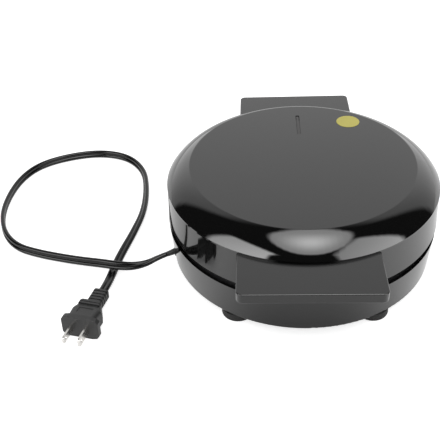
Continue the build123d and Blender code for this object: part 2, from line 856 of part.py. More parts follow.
def upper_plate():
    """Cast plate of the lid, with a shallow domed hollow over each cup."""
    body = post(0, 0, upper_bottom_z, upper_web_top, plate_radius)
    body = chamfer(body.edges().filter_by(GeomType.CIRCLE).sort_by(Axis.Z)[0], 0.6)
    skirt = post(0, 0, upper_bottom_z + 1, upper_web_top + skirt_depth, plate_radius)
    skirt -= post(0, 0, upper_bottom_z, upper_web_top + 10, plate_radius - skirt_thickness)
    body += skirt
    ball = top_sphere()
    centre_z = upper_bottom_z + top_hollow_depth - ball
    above = block((-40, -40, upper_bottom_z + 0.5), (40, 40, upper_bottom_z + 40))
    cap = (Pos(0, 0, centre_z) * Sphere(ball + cup_wall)) & above
    for x, y in cup_centres:
        body += Pos(x, y, 0) * cap
    for angle in foot_angles.values():
        x, y = polar(lid_boss_pitch_radius, angle)
        body += post(x, y, upper_web_top - 1, upper_boss_top, lid_boss_radius)
        thread = screw_radius + thread_clearance
        body -= post(x, y, upper_web_top + 1, upper_boss_top, thread)
    for x in (-reflector_screw_x, reflector_screw_x):
        post_top = upper_web_top + upper_post_height
        body += post(x, 0, upper_web_top - 1, post_top, 3.5)
        thread = small_screw_radius + thread_clearance
        body -= post(x, 0, post_top - reflector_screw_length, post_top, thread)
    for x, y in cup_centres:
        body -= Pos(x, y, centre_z) * Sphere(ball)
    return body


def lid_plate_screws():
    """Four long screws from the lid's ledge down into the upper plate's bosses."""
    length = frame_top_z - upper_web_top - 2
    screws = []
    for angle in foot_angles.values():
        x, y = polar(lid_boss_pitch_radius, angle)
        placed = Pos(x, y, frame_top_z) * Rot(180, 0, 0)
        screws.append(placed * pan_screw(screw_radius, length, 3.6))
    return Compound(children=screws)


def upper_reflector():
    """Bright steel shield above the upper plate, on two posts, with a hole for the leads."""
    bottom = upper_web_top + upper_post_height
    radius = ledge_inner_radius - 5
    t = reflector_thickness
    body = post(0, 0, bottom, bottom + t, radius)
    rim = post(0, 0, bottom, bottom + 6, radius) - post(0, 0, bottom - 1, bottom + 7, radius - t)
    body += rim
    for x in (-reflector_screw_x, reflector_screw_x):
        body -= post(x, 0, bottom - 1, bottom + 1, small_screw_radius + screw_clearance)
    x, y = lamp_lead_place
    body -= post(x, y, bottom - 1, bottom + 2, 4.5)
    return body


lamp_lead_place = (0.0, window_centre_y - 18.7)


def upper_reflector_screws():
    """Two screws that hold the upper reflector on its posts."""
    seat = upper_web_top + upper_post_height + reflector_thickness
    screws = []
    for x in (-reflector_screw_x, reflector_screw_x):
        screw = pan_screw(small_screw_radius, reflector_screw_length, small_head_radius)
        screws.append(Pos(x, 0, seat) * Rot(180, 0, 0) * screw)
    return Compound(children=screws)


lens_flange_thickness = 1.6
lamp_holder_height = 9.0
lamp_holder_wall = 1.5
lamp_radius = 2.6
lamp_lead_radius = 0.5


def hung(*size):
    """Box that hangs down from its own origin."""
    return Box(*size, align=(Align.CENTER, Align.CENTER, Align.MAX))


def indicator_lens():
    """Long light window in the plateau, with a flange that bears on the dome's underside."""
    width = window_width - 2 * window_clearance
    length = window_length - 2 * window_clearance
    height = wall - window_recess
    top = Box(width, length, height, align=(Align.CENTER, Align.CENTER, Align.MIN))
    top = fillet(top.edges().filter_by(Axis.Z), 0.9)
    wide = window_width + 2 * window_flange
    flange = hung(wide, window_length + 2 * window_flange, lens_flange_thickness)
    return Pos(0, window_centre_y, plateau_z - wall) * (top + flange)


def lamp_holder():
    """Clip-on channel under the window that carries the lamp."""
    wide = window_width + 2 * window_flange + 2
    long = window_length + 2 * window_flange
    body = hung(wide, long, lamp_holder_height)
    inner = wide - 2 * lamp_holder_wall
    depth = lamp_holder_height - lamp_holder_wall
    body -= hung(inner, long - 2 * lamp_holder_wall, depth)
    for y in (-long / 2, long / 2):
        lead_way = Cylinder(2 * lamp_lead_radius, 12, rotation=(90, 0, 0))
        body -= Pos(0, y, -lamp_radius - 2) * lead_way
    return Pos(0, window_centre_y, plateau_z - wall - lens_flange_thickness) * body


def indicator_lamp():
    """Neon lamp lying in its holder, with a lead at each end of the glass."""
    glass = Cylinder(lamp_radius, window_length - 10.6, rotation=(90, 0, 0))
    glass = fillet(glass.edges().filter_by(GeomType.CIRCLE), lamp_radius * 0.7)
    lead_length = window_length + 2 * window_flange - 0.2
    lead = Cylinder(lamp_lead_radius, lead_length, rotation=(90, 0, 0))
    level = plateau_z - wall - lens_flange_thickness - lamp_radius - 2
    return Pos(0, window_centre_y, level) * (glass + lead)


def blank_sticker():
    """Round sticker with nothing printed on it, on the plateau near the hinge."""
    x, y = sticker_place
    return post(x, y, plateau_z, plateau_z + sticker_thickness, sticker_radius)


def hinge_cable(half):
    """Half of the sleeved cable across the hinge: both halves meet on the hinge's own axis."""
    level = cable_base_z if half < 0 else cable_lid_z
    x = cable_meet_x + half * cable_reach_x
    points = [
        (cable_meet_x + half * cable_half_gap, hinge_y, hinge_z),
        (x, hinge_y, hinge_z),
        (x, hinge_y, level),
        (x, cable_inside_y, level),
    ]
    return tube(points, [cable_bend, cable_bend], cable_radius)


def lid_wires():
    """Insulated leads from the hinge cable to the upper element and the indicator lamp."""
    x = cable_meet_x + cable_reach_x
    level = cable_lid_z + 2.5
    beside = wire_radius + 0.1
    corner, along = element_end(1)
    pin = corner + along * element_bend
    touch = element_pin_radius + wire_radius + 0.1
    to_element = [
        (x - beside, cable_inside_y - 0.3, cable_lid_z),
        (x - beside, cable_inside_y - 13, level),
        (pin.X + touch, pin.Y, level),
    ]
    lamp_bottom = plateau_z - wall - lamp_holder_height - 3
    to_lamp = [
        (x + beside, cable_inside_y - 0.3, cable_lid_z),
        (x + beside, cable_inside_y - 9, level),
        (*lamp_lead_place, level),
        (*lamp_lead_place, lamp_bottom),
    ]
    return Compound(children=[wire(to_element), wire(to_lamp)])


# Cord and plug

plug_grip_depth = 4.5
plug_ridge_height = 17.2
plug_yaw = 12.96
plug_face = (-174.9, -110.6)

# The plug lies on the lower edges of its flange and of its rear ridge, which is lower, so that
# the blades point up a little.
plug_tilt = degrees(
    atan2((plug_height - plug_ridge_height) / 2, plug_body_length - plug_grip_depth)
)
plug_centre_z = plug_height / 2 * cos(radians(plug_tilt)) + plug_grip_depth * sin(radians(plug_tilt))


def plug_placed(shape):
    """Moves a plug piece from its own frame, where the blades point along -Y, to the table."""
    place = Pos(plug_face[0], plug_face[1], plug_centre_z)
    return place * Rot(0, 0, -plug_yaw) * Rot(-plug_tilt, 0, 0) * shape


def relief_axis():
    """Direction of the relief's nose, which leans forwards and down with the cord."""
    x, y = polar(cos(radians(relief_nose_dip)), relief_nose_angle)
    return Vector(x, y, -sin(radians(relief_nose_dip)))


def on_relief_axis(distance):
    """Place on the nose's axis at a distance beyond its root."""
    x, y = polar(wall_at(exit_height) + relief_collar_end, exit_angle)
    place = Vector(x, y, exit_height) + relief_axis() * distance
    return place.X, place.Y, place.Z


def strain_relief():
    """Bushing in the base wall: a flange inside, a neck and a leaning nose as flat as the cord."""
    outline = [
        (0, -relief_inside),
        (relief_neck_radius, -relief_inside),
        (relief_neck_radius, -wall - 3.0),
        (relief_neck_radius + relief_flange, -wall - 3.0),
        (relief_neck_radius + relief_flange, -wall - 0.4),
        (relief_neck_radius, -wall - 0.4),
        (relief_neck_radius, 0.3),
        (0, 0.3),
    ]
    face = wall_at(exit_height)
    body = Rot(0, 0, exit_angle) * Pos(face, 0, exit_height) * Rot(0, 90, 0) * turned(outline)
    start = on_relief_axis(-relief_collar_end - 0.6)
    level = relief_axis().cross(Vector(0, 0, 1)).normalized()
    wide = level.rotate(Axis((0, 0, 0), relief_axis()), relief_turn)
    half_sizes = (relief_neck_radius - 0.5, relief_neck_radius - 1.0)
    root = Plane(origin=start, x_dir=wide, z_dir=relief_axis()) * Ellipse(*half_sizes)
    end = Plane(origin=on_relief_axis(relief_nose_length), x_dir=wide, z_dir=relief_axis())
    end = end * Ellipse(cord_width / 2 + 0.15, cord_thickness / 2 + 0.25)
    return body + loft([root, end])


plug_relief_width = 12.8
plug_relief_height = 9.2
plug_rib_places = (30.4, 33.9, 37.4, 40.9)
plug_rib_gap = 1.3
plug_rib_depth = 1.0
blade_seat_depth = 8.0
narrow_blade = 6.35
wide_blade = 7.9


def plug_section(along, wide, tall, share):
    """Rounded cross-section of the plug at a distance behind its face."""
    plane = Plane(origin=(0, along, 0), x_dir=(1, 0, 0), z_dir=(0, 1, 0))
    return plane * RectangleRounded(wide, tall, min(wide, tall) * share)


def plug_flange():
    """Grip flange at the plug's face: a plate with slanted ears, lower than its middle."""
    ear_top = plug_height / 2 - 1.1
    corners = [
        (plug_face_width / 2, ear_top - 2.6),
        (plug_face_width / 2 - 1.9, ear_top),
        (9.6, plug_height / 2),
    ]
    upper = corners + [(-x, z) for x, z in reversed(corners)]
    lower = [(-x, -z) for x, z in upper]
    plane = Plane(origin=(0, 0, 0), x_dir=(1, 0, 0), z_dir=(0, -1, 0))
    flange = extrude(plane * Polygon(*upper, *lower, align=None), -plug_grip_depth)
    return fillet(flange.edges().group_by(Axis.Y)[0], 0.6)


def plug_body():
    """Moulded plug: a flange, a body with a ridge at its rear and a ribbed relief, all one."""
    body = plug_flange() + loft(
        [
            plug_section(plug_grip_depth - 1.5, 22.0, plug_height - 1.6, 0.22),
            plug_section(plug_body_length * 0.3, 23.2, plug_height - 2.6, 0.22),
            plug_section(plug_body_length * 0.62, 25.2, plug_height - 4.0, 0.26),
            plug_section(plug_body_length - 4.2, 20.6, plug_height - 5.0, 0.22),
            plug_section(plug_body_length - 0.4, 17.0, plug_height - 5.6, 0.22),
        ],
        ruled=True,
    )
    for side in (-1, 1):
        place = (0, plug_body_length / 2, side * (plug_height / 2 - 1.45))
        body -= Pos(*place) * Rot(-side * 5, 0, 0) * Box(12.0, 6.4, 1.4)
    ridge = Box(18.6, 4.8, plug_ridge_height, align=(Align.CENTER, Align.MAX, Align.CENTER))
    ridge = chamfer(ridge.edges().filter_by(Axis.Z).group_by(Axis.Y)[-1], 2.2)
    ridge = fillet(ridge.edges().filter_by(Axis.Y), 1.6)
    ridge -= Pos(0, -2.6, 0) * (Box(30, 0.9, 30) - Box(17.6, 2, plug_ridge_height - 1.0))
    body += Pos(0, plug_body_length, 0) * ridge
    size = (plug_relief_width, plug_relief_height)
    relief = extrude(plug_section(plug_body_length - 1, *size, 0.26), plug_relief_length + 1)
    relief = chamfer(relief.edges().group_by(Axis.Y)[-1], 0.7)
    core = plug_section(plug_body_length, *(value - 2 * plug_rib_depth for value in size), 0.2)
    core = extrude(core, plug_relief_length)
    for along in plug_rib_places:
        relief -= Pos(0, along, 0) * Box(30, plug_rib_gap, 30) - core
    body += relief
    for side, width in ((-1, narrow_blade), (1, wide_blade)):
        seat = Box(blade_thickness, 2 * blade_seat_depth, width)
        body -= Pos(side * blade_spacing / 2, 0, 0) * seat
    return plug_placed(body)


def plug_blade(side, width):
    """Flat contact blade with a hole near its rounded tip, seated in the plug body."""
    body = Box(blade_thickness, blade_length + blade_seat_depth, width)
    body = Pos(0, (blade_seat_depth - blade_length) / 2, 0) * body
    tips = body.edges().filter_by(Axis.X).group_by(Axis.Y)[0]
    body = fillet(tips, 2.2)
    hole = Cylinder(1.5, 10, rotation=(0, 90, 0))
    body -= Pos(0, 4 - blade_length, 0) * hole
    return plug_placed(Pos(side * blade_spacing / 2, 0, 0) * body)


# The cord's route: straight from the relief, down over its own lower stretch, round one wide
# loop on the table and back under itself to the plug.
tube_radius = (cord_width + cord_thickness) / 4
cord_points = [
    (-131.0, -36.3, 11.5),
    (-142.0, -38.2, 10.1),
    (-154.5, -37.0, 9.6),
    (-171.0, -32.7, 9.2),
    (-189.2, -25.0, 4.4),
    (-207.6, -18.7, 2.7),
    (-231.6, -11.9, 2.7),
    (-253.5, -2.7, 2.7),
    (-270.5, 16.8, 2.7),
    (-281.0, 45.8, 2.7),
    (-282.8, 78.7, 2.7),
    (-278.0, 110.1, 2.7),
    (-264.5, 134.1, 2.7),
    (-237.6, 149.6, 2.7),
    (-203.6, 156.8, 2.7),
    (-172.5, 147.1, 2.7),
    (-152.7, 120.6, 2.7),
    (-146.3, 86.7, 2.7),
    (-144.8, 50.8, 2.7),
    (-150.8, 17.4, 2.7),
    (-157.5, -9.8, 2.7),
    (-161.0, -31.0, 2.7),
    (-161.7, -43.5, 5.0),
]


def plug_tail(distance):
    """Place on the plug's own axis at a distance behind the end of its ribbed relief."""
    tail = plug_body_length + plug_relief_length + distance
    level = tail * cos(radians(plug_tilt))
    x = plug_face[0] + level * sin(radians(plug_yaw))
    y = plug_face[1] + level * cos(radians(plug_yaw))
    return x, y, plug_centre_z - tail * sin(radians(plug_tilt))


def power_cord():
    """Plain tube on the route of the flat cord."""
    start = [on_relief_axis(relief_nose_length), on_relief_axis(relief_nose_length + 8)]
    points = [*start, *cord_points, plug_tail(9), plug_tail(0)]
    radii = bend_radii(points)
    path = FilletPolyline(*points, radius=radii)
    section = Plane(origin=path @ 0, z_dir=path % 0) * Circle(tube_radius)
    solid = sweep(section, path=path)
    expected = path.length * 3.14159265 * tube_radius**2
    print("cord radii", [round(r, 1) for r in radii])
    print("cord smallest radius", round(min(radii), 1), "length", round(path.length, 1))
    print("cord volume", round(solid.volume), "section times length", round(expected))
    return solid


pieces = {
    "base_shell": base_shell(),
    "lower_plate": lower_plate(),
    "plate_screws": plate_screws(),
    "lower_reflector": lower_reflector(),
    "lower_reflector_screws": lower_reflector_screws(),
    "lower_element": element(lower_web_bottom - element_radius - element_seat, -1),
    "thermostat": thermostat(),
    "thermal_fuse": thermal_fuse(),
    "fuse_clip": fuse_clip(),
    "terminal_block": terminal_block(),
    "base_wires": base_wires(),
    "hinge_ear_left": ear(-1),
    "hinge_ear_right": ear(1),
    "ear_screws": ear_screws(),
    "hinge_cable_base": hinge_cable(-1),
    "hinge_cable_lid": hinge_cable(1),
    "lid_frame": lid_frame(),
    "lid_dome": lid_dome(),
    "dome_screws": dome_screws(),
    "front_handle": slab(-1),
    "handle_screws": slab_screws(-1),
    "hinge_cover": slab(1),
    "cover_screws": slab_screws(1),
    "hinge_arm_left": arm(-1),
    "hinge_arm_right": arm(1),
    "arm_screws": arm_screws(),
    "hinge_pin_left": hinge_pin(-1),
    "hinge_pin_right": hinge_pin(1),
    "upper_plate": upper_plate(),
    "lid_plate_screws": lid_plate_screws(),
    "upper_element": element(upper_web_top + element_radius + element_seat, 1),
    "upper_reflector": upper_reflector(),
    "upper_reflector_screws": upper_reflector_screws(),
    "indicator_lens": indicator_lens(),
    "lamp_holder": lamp_holder(),
    "indicator_lamp": indicator_lamp(),
    "lid_wires": lid_wires(),
    "blank_sticker": blank_sticker(),
    "strain_relief": strain_relief(),
    "power_cord": power_cord(),
    "plug_body": plug_body(),
    "plug_blade_narrow": plug_blade(-1, narrow_blade),
    "plug_blade_wide": plug_blade(1, wide_blade),
}
for name, angle in foot_angles.items():
    pieces[name] = foot(angle)

os.makedirs("parts", exist_ok=True)
for name, shape in pieces.items():
    export_step(shape, f"parts/{name}.step")
print(len(pieces), "pieces")
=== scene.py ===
from math import cos, pi, radians, sin

import bpy
import numpy as np
from mathutils import Matrix, Vector


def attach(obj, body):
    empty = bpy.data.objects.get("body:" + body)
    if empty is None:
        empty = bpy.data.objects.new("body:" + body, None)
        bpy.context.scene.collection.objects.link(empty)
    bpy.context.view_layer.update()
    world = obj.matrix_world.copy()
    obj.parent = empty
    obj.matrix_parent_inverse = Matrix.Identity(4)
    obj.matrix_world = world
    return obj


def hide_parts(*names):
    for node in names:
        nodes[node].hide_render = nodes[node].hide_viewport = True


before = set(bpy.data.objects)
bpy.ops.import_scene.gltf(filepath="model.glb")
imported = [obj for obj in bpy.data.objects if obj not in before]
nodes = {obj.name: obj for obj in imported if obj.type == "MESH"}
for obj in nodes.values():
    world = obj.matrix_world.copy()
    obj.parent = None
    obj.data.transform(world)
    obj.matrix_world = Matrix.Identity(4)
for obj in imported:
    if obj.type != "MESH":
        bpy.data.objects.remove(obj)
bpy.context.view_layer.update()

# Camera. It stands in front of the appliance and a little to its left, looks down on it over
# the handle, and is held a few degrees off level. Places and lengths are in metres.
camera_place = Vector((-0.0360, -0.5042, 0.4097))
camera_yaw, camera_pitch, camera_roll = radians(-3.78), radians(36.93), radians(-2.94)
lens_mm = 59.4
sensor_mm = 36.0
forward = Vector((
    sin(camera_yaw) * cos(camera_pitch),
    cos(camera_yaw) * cos(camera_pitch),
    -sin(camera_pitch),
))
level_right = Vector((cos(camera_yaw), -sin(camera_yaw), 0.0))
level_up = level_right.cross(forward)
right = cos(camera_roll) * level_right + sin(camera_roll) * level_up
up = cos(camera_roll) * level_up - sin(camera_roll) * level_right
camera = bpy.data.objects.new("camera", bpy.data.cameras.new("camera"))
camera.data.lens = lens_mm
camera.data.sensor_width = sensor_mm
camera_turn = Matrix((right, up, -forward)).transposed().to_4x4()
camera.matrix_world = Matrix.Translation(camera_place) @ camera_turn
bpy.context.scene.collection.objects.link(camera)
bpy.context.scene.camera = camera
bpy.context.scene.view_settings.view_transform = "Standard"

# Table. One large white sheet that runs on behind the appliance. The object is lit only by
# its plain reflection. It also glows, for the camera and less so for gloss. For gloss the glow
# holds painted shadow and painted light: it is least straight before and behind the appliance,
# a painted shadow of it, and most on its right, a painted pool of light.
table_reach = 6
table_glow = 0.72
gloss_glow = 0.06
gloss_glow_outside_painted_shadow = 0.37
gloss_painted_light_on_right = 0.10
side_fade = 0.02


def grey(level):
    """Opaque colour with three equal parts."""
    return (level, level, level, 1.0)


class Signal:
    """One number that varies over a surface. Arithmetic on it adds Math nodes."""

    def __init__(self, finish, socket):
        self.finish = finish
        self.socket = socket

    def _maths(self, operation, *values):
        return self.finish.add("ShaderNodeMath", {"operation": operation}, dict(enumerate(values)))

    def __add__(self, other):
        return self._maths("ADD", self, other)

    __radd__ = __add__

    def __sub__(self, other):
        return self._maths("SUBTRACT", self, other)

    def __rsub__(self, other):
        return self._maths("SUBTRACT", other, self)

    def __mul__(self, other):
        return self._maths("MULTIPLY", self, other)

    __rmul__ = __mul__

    def __truediv__(self, other):
        return self._maths("DIVIDE", self, other)

    def __pow__(self, other):
        return self._maths("POWER", self, other)

    def wave(self):
        return self._maths("SINE", self)

    def size(self):
        return self._maths("ABSOLUTE", self)

    def angle(self):
        """Degrees whose cosine this is."""
        return self._maths("ARCCOSINE", self) * (180 / pi)

    def between(self, low, high):
        """low where this is 0, high where it is 1, and straight on between them."""
        return low + self * (high - low)

    def rises(self, start, end):
        """0 up to start and 1 from end on, with a soft step between; start may be the larger."""
        sockets = {"Value": self, "From Min": start, "From Max": end}
        return self.finish.add("ShaderNodeMapRange", {"interpolation_type": "SMOOTHSTEP"}, sockets)


class Finish:
    """A node-built material or sky. add() makes any node and gives one of its outputs."""

    def __init__(self, owner, shader, **uniform):
        owner.use_nodes = True
        self.owner = owner
        self.tree = owner.node_tree
        self.tree.nodes.clear()
        self.shader = self.tree.nodes.new(shader)
        self.set(**uniform)

    def add(self, kind, settings=None, sockets=None, output=0):
        node = self.tree.nodes.new(kind)
        for name, value in (settings or {}).items():
            if name == "stops":
                elements = node.color_ramp.elements
                while len(elements) < len(value):
                    elements.new(0.5)
                for element, (position, shade) in zip(elements, value):
                    element.position = position
                    element.color = shade
            else:
                setattr(node, name, value)
        for name, value in (sockets or {}).items():
            self.feed(node.inputs[name], value)
        return Signal(self, node.outputs[output])

    def feed(self, socket, value):
        """Links a signal to a socket, or sets the socket to a plain value."""
        if isinstance(value, Signal):
            self.tree.links.new(value.socket, socket)
        else:
            socket.default_value = value

    def set(self, **inputs):
        """Feeds the shader's own sockets; underscores in a name stand for spaces."""
        for name, value in inputs.items():
            self.feed(self.shader.inputs[name.replace("_", " ")], value)

    def ray(self, kind):
        """1 for rays of a kind (Camera, Glossy or Transmission) and 0 for all others."""
        return self.add("ShaderNodeLightPath", output=f"Is {kind} Ray")

    def place(self, scale=(1.0, 1.0, 1.0)):
        """Object coordinates in metres, scaled."""
        place = self.add("ShaderNodeTexCoord", output="Object")
        return self.add("ShaderNodeMapping", {}, {"Vector": place, "Scale": scale})

    def axes(self, vector):
        """The three parts of a vector as signals."""
        split = self.add("ShaderNodeSeparateXYZ", {}, {0: vector}).socket.node
        return [Signal(self, part) for part in split.outputs]

    def vector_maths(self, operation, *vectors):
        return self.add("ShaderNodeVectorMath", {"operation": operation}, dict(enumerate(vectors)))

    def noise(self, vector, per_metre, detail=3.0):
        """Soft random cells, about so many of them to a metre."""
        sockets = {"Vector": vector, "Scale": per_metre, "Detail": detail}
        return self.add("ShaderNodeTexNoise", {}, sockets)

    def ramp(self, value, *stops):
        return self.add("ShaderNodeValToRGB", {"stops": stops}, {"Fac": value})

    def mix(self, share, one, two):
        """Colour that goes from one to two; the node numbers its colour sockets 6 and 7."""
        return self.add("ShaderNodeMix", {"data_type": "RGBA"}, {0: share, 6: one, 7: two}, 2)

    def bump(self, height, depth, strength):
        sockets = {"Height": height, "Distance": depth, "Strength": strength}
        return self.add("ShaderNodeBump", {}, sockets)

    def done(self, output="ShaderNodeOutputMaterial"):
        """Joins the shader to the output node and gives the finished material or sky."""
        end = self.tree.nodes.new(output)
        self.tree.links.new(self.shader.outputs[0], end.inputs["Surface"])
        return self.owner


def material(name, shader="ShaderNodeBsdfPrincipled", **uniform):
    return Finish(bpy.data.materials.new(name), shader, **uniform)


table_corners = [(-table_reach, -table_reach, 0), (table_reach, -table_reach, 0)]
table_corners += [(table_reach, table_reach, 0), (-table_reach, table_reach, 0)]
table_mesh = bpy.data.meshes.new("table")
table_mesh.from_pydata(table_corners, [], [(0, 1, 2, 3)])
table = bpy.data.objects.new("table", table_mesh)
bpy.context.scene.collection.objects.link(table)
sheet = material("table_white", "ShaderNodeBsdfDiffuse", Color=grey(0.85))
x, y = sheet.axes(sheet.place())[:2]
# Painted shadow and painted light in gloss: the glow is dim straight before and behind the  appliance,
# stands in for its shadow there, rises to the sides, and is brighter on the right.
outside_painted_shadow = (x.size() / (y.size() + side_fade)).rises(0.1, 1.1)
painted_light_on_right = x.rises(0.0, 0.15)
in_gloss = outside_painted_shadow * gloss_glow_outside_painted_shadow + painted_light_on_right * gloss_painted_light_on_right + gloss_glow
seen = (sheet.ray("Camera") + sheet.ray("Transmission")) * table_glow
light = seen + sheet.ray("Glossy") * in_gloss
glow = sheet.add("ShaderNodeEmission", {}, {"Color": grey(1.0), "Strength": light})
reflection = Signal(sheet, sheet.shader.outputs[0])
sheet.shader = sheet.add("ShaderNodeAddShader", {}, {0: reflection, 1: glow}).socket.node
table_mesh.materials.append(sheet.done())

# Sky. White studio light. Gloss sees a backdrop behind the appliance, a dark ceiling, three
# soft boxes in front, and below them the dark of the camera's own place.
# Its places are degrees to the right and to the back of straight up, as on a map.
plain_light = 0.75
ceiling_light = 0.03
sky = Finish(bpy.data.worlds.new("studio"), "ShaderNodeBackground", Color=grey(1.0))
bpy.context.scene.world = sky.owner
toward_x, toward_y, toward_z = sky.axes(sky.add("ShaderNodeTexCoord", output="Generated"))
above_zero = 0.000001
level_part = (toward_x * toward_x + toward_y * toward_y + above_zero) ** 0.5
degrees_per_part = toward_z.angle() / level_part
to_right = toward_x * degrees_per_part
to_back = toward_y * degrees_per_part

edge_back, edge_right, edge_bend = 12, 8, 0.0038
backdrop_steps = ((-3, 7, 0.62), (3, 45, 0.5), (30, 75, 0.5))
backdrop_dip = 0.29
past_edge = to_back - edge_back - (to_right - edge_right) ** 2 * edge_bend
backdrop = sum(past_edge.rises(start, end) * light for start, end, light in backdrop_steps)
backdrop = backdrop * (1 - to_right.size().rises(30, 10) * backdrop_dip)

middle_right, middle_front = 5, 17
middle_across, middle_deep = 21, 28
middle_light, middle_hot_light = 2.5, 3.2
from_middle = (
    ((to_right - middle_right) / middle_across) ** 2 + ((to_back + middle_front) / middle_deep) ** 2
) ** 0.5
middle_box = from_middle.rises(1.1, 0.92) * middle_light
middle_box = middle_box + from_middle.rises(0.95, 0.0) * middle_hot_light

side_front = 18
left_lean, left_light, left_falloff = 0.65, 3.4, 0.045
left_box = to_back.rises(-10, -17) * (to_right + to_back * left_lean).rises(-47, -53)
left_box = left_box * (left_light - (to_back + side_front) * left_falloff)

right_edge, right_lean, right_light, right_growth = 27, 0.19, 2.5, 0.035
right_box = to_back.rises(-9, -16) * (to_right - (to_back + side_front) * right_lean).rises(24, 32)
right_box = right_box * (right_light + (to_right - right_edge) * right_growth)

dark_left, dark_front, dark_lean = 1, 46, 0.9
dark_across = (to_right + dark_left).size() + (to_back + dark_front) * dark_lean
camera_dark = to_back.rises(-43, -49) * dark_across.rises(27, 20)
above_table = toward_z.rises(0.15, 0.3)
boxes = (middle_box + left_box + right_box) * (1 - camera_dark) * above_table

straight = sky.ray("Camera") + sky.ray("Transmission")
glossy = sky.ray("Glossy")
in_gloss = glossy * (backdrop + boxes + ceiling_light)
sky.set(Strength=straight + in_gloss + (1 - straight - glossy) * plain_light)
sky.done("ShaderNodeOutputWorld")


# Soft boxes. Wide lamps behind white cloth, one over the front of the appliance and one at
# each side. Gloss doesn't see them, because the sky holds their reflection.
def soft_box(name, place, target, width, depth, radiance):
    """Elliptical area lamp: its power is radiance times pi times its area."""
    lamp = bpy.data.lights.new(name, "AREA")
    lamp.shape = "ELLIPSE"
    lamp.size = width
    lamp.size_y = depth
    lamp.energy = radiance * width * depth * pi * pi / 4
    thing = bpy.data.objects.new(name, lamp)
    thing.location = place
    thing.visible_glossy = False
    away = Vector(place) - Vector(target)
    thing.rotation_mode = "QUATERNION"
    thing.rotation_quaternion = away.to_track_quat("Z", "Y")
    bpy.context.scene.collection.objects.link(thing)


soft_box("front_top_box", (0.02, -0.42, 1.05), (0.0, -0.10, 0.08), width=1.05, depth=0.42, radiance=1.6)
for name, x in (("left_box", -0.95), ("right_box", 0.95)):
    soft_box(name, (x, -0.25, 0.72), (0.0, 0.0, 0.05), width=0.55, depth=0.42, radiance=1.2)

# Base shell. A bowl of black plastic from a polished mould, a little duller than the lid. The
# lower plate's screws go up through bosses in its floor, and vents are cut in the floor.
dust_dulls = 0.03


def gloss(name, tones, roughness, waves, lean=0.0):
    """Polished plastic: faint clouding of the gloss, dust, and the shallow waves of a mould.

    lean is added to the upward part of the normal, so that a side's shine turns further up.
    """
    plastic = material(name, IOR=1.75)
    here = plastic.place()
    cloud = plastic.noise(here, 22.0, detail=4.0)
    wavy = plastic.noise(here, 70.0, detail=2.0)
    dust = plastic.ramp(plastic.noise(here, 1500.0, detail=2.0), (0.70, grey(0.0)), (0.76, grey(1.0)))
    normal = plastic.bump(wavy, depth=0.0001, strength=waves)
    if lean:
        normal = plastic.vector_maths("ADD", normal, (0.0, 0.0, lean))
        normal = plastic.vector_maths("NORMALIZE", normal)
    plastic.set(
        Base_Color=plastic.mix(cloud, *tones),
        Roughness=cloud.between(*roughness) + dust * dust_dulls,
        Normal=normal,
    )
    return plastic.done()


def paint(finished, *names):
    """Puts a material on nodes of the frame."""
    for name in names:
        data = nodes[name].data
        data.materials.clear()
        data.materials.append(finished)


paint(gloss("base_gloss", (grey(0.003), grey(0.005)), (0.06, 0.10), waves=0.06), "base_shell")

# Feet. Four pads of moulded black rubber, each with a stem that plugs the hole of a plate
# screw. They are matt, and dust stays in their grain.
foot_black = grey(0.009)
foot_dusty = (0.030, 0.029, 0.028, 1.0)
rubber = material("foot_rubber", IOR=1.5)
here = rubber.place()
grain = rubber.noise(here, 800.0, detail=4.0)
dusty = rubber.noise(here, 90.0, detail=5.0)
rubber.set(
    Base_Color=rubber.mix(dusty, foot_black, foot_dusty),
    Roughness=dusty.between(0.55, 0.80),
    Normal=rubber.bump(grain, depth=0.0002, strength=0.7),
)
paint(rubber.done(), "foot_front_left", "foot_front_right", "foot_rear_left", "foot_rear_right")

# Thermostat and terminal block. Pressed, glazed ceramic with specks in the glaze. The first
# sits against the underside of the lower plate, and the second beside the cord's entry.
glaze_dark, glaze_pale = (0.66, 0.63, 0.56, 1.0), (0.78, 0.76, 0.70, 1.0)
glaze_speck = (0.30, 0.27, 0.22, 1.0)
ceramic = material("ceramic", IOR=1.5)
here = ceramic.place()
speck = ceramic.ramp(ceramic.noise(here, 700.0, detail=2.0), (0.66, grey(0.0)), (0.72, grey(1.0)))
tone = ceramic.noise(here, 60.0)
ceramic.set(
    Base_Color=ceramic.mix(speck, ceramic.mix(tone, glaze_dark, glaze_pale), glaze_speck),
    Roughness=tone.between(0.22, 0.42),
    Normal=ceramic.bump(tone, depth=0.0002, strength=0.3),
)
paint(ceramic.done(), "thermostat", "terminal_block")

# Reflectors. Dishes spun from bright aluminium sheet, on which the tool leaves fine rings.
# Two screws hold each: the lower one under the cups, the upper one above the lid's plate.
# The rings' wave turns by so many radians to a metre, and wavers by a few.
spun_dark, spun_pale = (0.66, 0.66, 0.67, 1.0), (0.82, 0.82, 0.83, 1.0)
ring_turn, ring_waver = 5200.0, 8.0
bright = material("reflector_sheet", Metallic=1.0, IOR=1.5)
here = bright.place()
x, y = bright.axes(here)[:2]
from_centre = (x * x + y * y) ** 0.5
rings = (from_centre * ring_turn + bright.noise(here, 25.0) * ring_waver).wave()
scuff = bright.noise(here, 70.0, detail=5.0)
bright.set(
    Base_Color=bright.mix(scuff, spun_dark, spun_pale),
    Roughness=scuff.between(0.20, 0.38),
    Normal=bright.bump(rings, depth=0.00002, strength=0.4),
)
paint(bright.done(), "lower_reflector", "upper_reflector")

